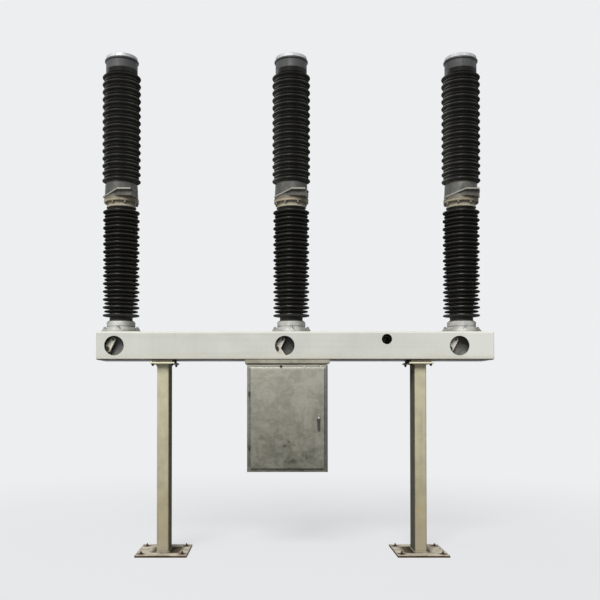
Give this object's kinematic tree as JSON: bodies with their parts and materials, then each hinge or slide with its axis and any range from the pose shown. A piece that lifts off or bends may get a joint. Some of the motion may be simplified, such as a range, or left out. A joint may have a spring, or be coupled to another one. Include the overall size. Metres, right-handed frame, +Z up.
{
  "type": "outdoor high-voltage circuit breaker",
  "caption": "Live-tank circuit breaker: porcelain poles with weather sheds on a box beam, two legs on base plates and a hung mechanism cabinet with a hinged door.",
  "frame": {"origin": "on the ground at the centre of the footprint", "axes": "+X along the beam, -Y towards the cabinet door, +Z up"},
  "size_m": [3.85, 0.584, 4.9376],
  "materials": {
    "weathered_plate": "cream paint worn to rust at the edges",
    "leg_paint": "beige paint, semi-matt",
    "beam_paint": "off-white paint, semi-matt",
    "cast_iron_case": "grey sand-cast surface",
    "crank_paint": "off-white paint",
    "cast_aluminium": "sand-cast, dull",
    "brown_porcelain": "dark brown glazed porcelain",
    "flange_paint": "weathered brown-cream paint",
    "terminal_aluminium": "dull grey cast aluminium",
    "cap_grey": "dark grey paint",
    "terminal_bright": "machined, pale",
    "hood_paint": "off-white paint",
    "stainless_sheet": "dull brushed stainless sheet",
    "hinge_steel": "dark steel",
    "black_handle": "black handle"
  },
  "bodies": {
    "stand": {"base_plate_left": "weathered_plate", "base_plate_right": "weathered_plate", "leg_left": "leg_paint", "leg_right": "leg_paint", "beam_front": "beam_paint", "beam_rear": "beam_paint", "beam_top": "beam_paint", "beam_bottom": "beam_paint", "beam_end_left": "beam_paint", "beam_end_right": "beam_paint", "gear_case_left": "cast_iron_case", "gear_case_middle": "cast_iron_case", "gear_case_right": "cast_iron_case", "base_flange_left": "cast_aluminium", "base_flange_middle": "cast_aluminium", "base_flange_right": "cast_aluminium", "support_insulator_left": "brown_porcelain", "support_insulator_middle": "brown_porcelain", "support_insulator_right": "brown_porcelain", "support_head_left": "flange_paint", "support_head_middle": "flange_paint", "support_head_right": "flange_paint", "lower_terminal_left": "terminal_aluminium", "lower_terminal_middle": "terminal_aluminium", "lower_terminal_right": "terminal_aluminium", "interrupter_left": "brown_porcelain", "interrupter_middle": "brown_porcelain", "interrupter_right": "brown_porcelain", "top_cap_left": "cap_grey", "top_cap_middle": "cap_grey", "top_cap_right": "cap_grey", "upper_terminal_left": "terminal_bright", "upper_terminal_middle": "terminal_bright", "upper_terminal_right": "terminal_bright", "cabinet_hood": "hood_paint", "cabinet_back": "stainless_sheet", "cabinet_side_left": "stainless_sheet", "cabinet_side_right": "stainless_sheet", "cabinet_floor": "stainless_sheet", "cabinet_frame": "stainless_sheet", "cabinet_hinges": "hinge_steel"},
    "door": {"cabinet_door": "stainless_sheet"},
    "handle": {"door_handle": "black_handle"},
    "crank_left_body": {"crank_left": "crank_paint"},
    "crank_middle_body": {"crank_middle": "crank_paint"},
    "crank_right_body": {"crank_right": "crank_paint"}
  },
  "joints": [
    {"name": "door_hinge", "type": "hinge", "parent": "stand", "child": "door", "pos_m": [-0.4445, -0.26, 1.331], "axis": [0, 0, -1], "range_deg": [0, 120]},
    {"name": "handle_turn", "type": "hinge", "parent": "door", "child": "handle", "pos_m": [0.2245, -0.27, 1.34], "axis": [0, 1, 0], "range_deg": [0, 90]},
    {"name": "crank_middle_turn", "type": "hinge", "parent": "stand", "child": "crank_middle_body", "pos_m": [-0.18, -0.154, 2.011], "axis": [0, -1, 0], "range_deg": [0, 50]},
    {"name": "crank_left_turn", "type": "hinge", "parent": "stand", "child": "crank_left_body", "pos_m": [-1.834, -0.154, 2.011], "axis": [0, -1, 0], "range_deg": [0, 50]},
    {"name": "crank_right_turn", "type": "hinge", "parent": "stand", "child": "crank_right_body", "pos_m": [1.514, -0.154, 2.011], "axis": [0, -1, 0], "range_deg": [0, 50]}
  ],
  "couplings": [
    {"joint": "crank_left_turn", "follows": "crank_middle_turn", "ratio": 1},
    {"joint": "crank_right_turn", "follows": "crank_middle_turn", "ratio": 1}
  ]
}
